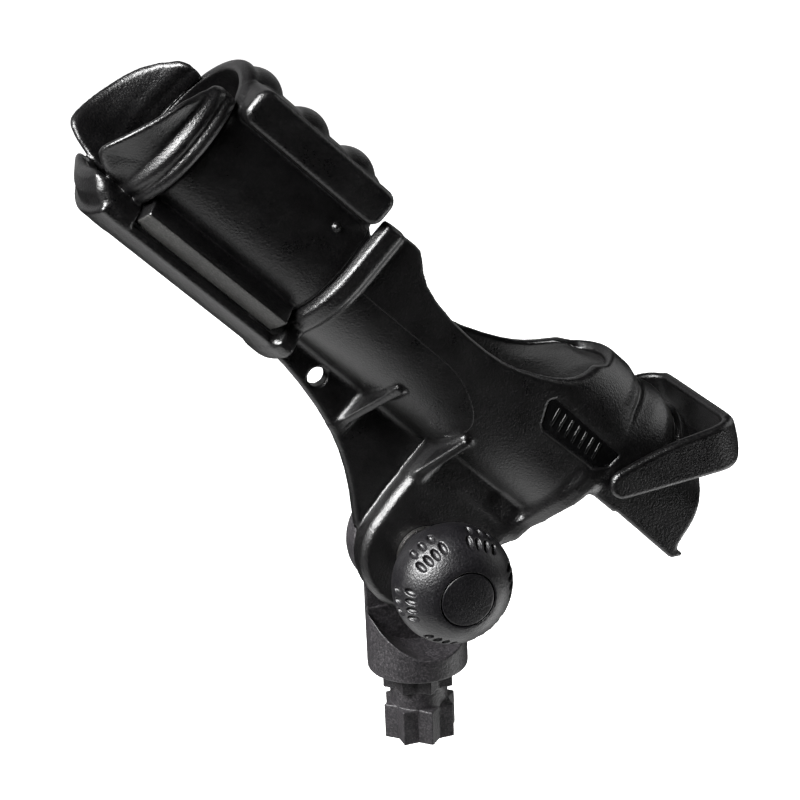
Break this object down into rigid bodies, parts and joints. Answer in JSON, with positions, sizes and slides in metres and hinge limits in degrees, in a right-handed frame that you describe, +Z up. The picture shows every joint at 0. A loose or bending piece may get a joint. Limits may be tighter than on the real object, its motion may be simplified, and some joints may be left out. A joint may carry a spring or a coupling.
{
  "type": "fishing rod holder",
  "caption": "Adjustable rod holder: open cradle with a turning lock ring, swinging tail bail, ratchet tilt hinge with hand knob, and a star spigot mount.",
  "frame": {"origin": "centre of the spigot's bottom face", "axes": "+Z up along the spigot, +X towards the tail of the cradle, -Y towards the hand knob"},
  "size_m": [0.2474, 0.0964, 0.2769],
  "materials": {
    "nylon_black": "satin moulded",
    "nylon_dark_grey": "satin moulded",
    "badge_gloss": "gloss",
    "acetal": "satin",
    "steel": "turned",
    "brass": "turned"
  },
  "bodies": {
    "yoke": {"mount_yoke": "nylon_dark_grey", "pivot_bolt": "steel", "bolt_washer": "steel", "ratchet_ring_fixed": "acetal", "release_spring": "steel"},
    "clamp": {"thrust_washer": "steel"},
    "cradle": {"cradle_body": "nylon_black", "ratchet_ring_moving": "acetal", "badge_plate_near": "badge_gloss", "badge_plate_far": "badge_gloss", "bail_pin_near": "steel", "bail_pin_far": "steel"},
    "ring": {"locking_ring": "nylon_black"},
    "bail": {"tail_bail": "nylon_black"},
    "knob": {"knob_shell": "nylon_black", "knob_cap": "nylon_black", "knob_insert": "brass"}
  },
  "joints": [
    {"name": "clamp_slide", "type": "slide", "parent": "yoke", "child": "clamp", "axis": [0, 1, 0], "range_m": [0, 0.0009]},
    {"name": "tilt", "type": "hinge", "parent": "clamp", "child": "cradle", "pos_m": [0, 0, 0.0823], "axis": [0, 1, 0], "range_deg": [-45, 30]},
    {"name": "knob_turn", "type": "hinge", "parent": "clamp", "child": "knob", "pos_m": [0, -0.0438, 0.0823], "axis": [0, 1, 0], "range_deg": [0, 259.5]},
    {"name": "ring_turn", "type": "hinge", "parent": "cradle", "child": "ring", "pos_m": [-0.05586, 0, 0.23009], "axis": [-0.7071, 0, 0.7071], "range_deg": [0, 180]},
    {"name": "bail_swing", "type": "hinge", "parent": "cradle", "child": "bail", "pos_m": [0.0746, 0, 0.10599], "axis": [0, 1, 0], "range_deg": [-60, 40]}
  ],
  "couplings": [
    {"joint": "knob_turn", "follows": "clamp_slide", "rad_per_m": 5026.5}
  ]
}
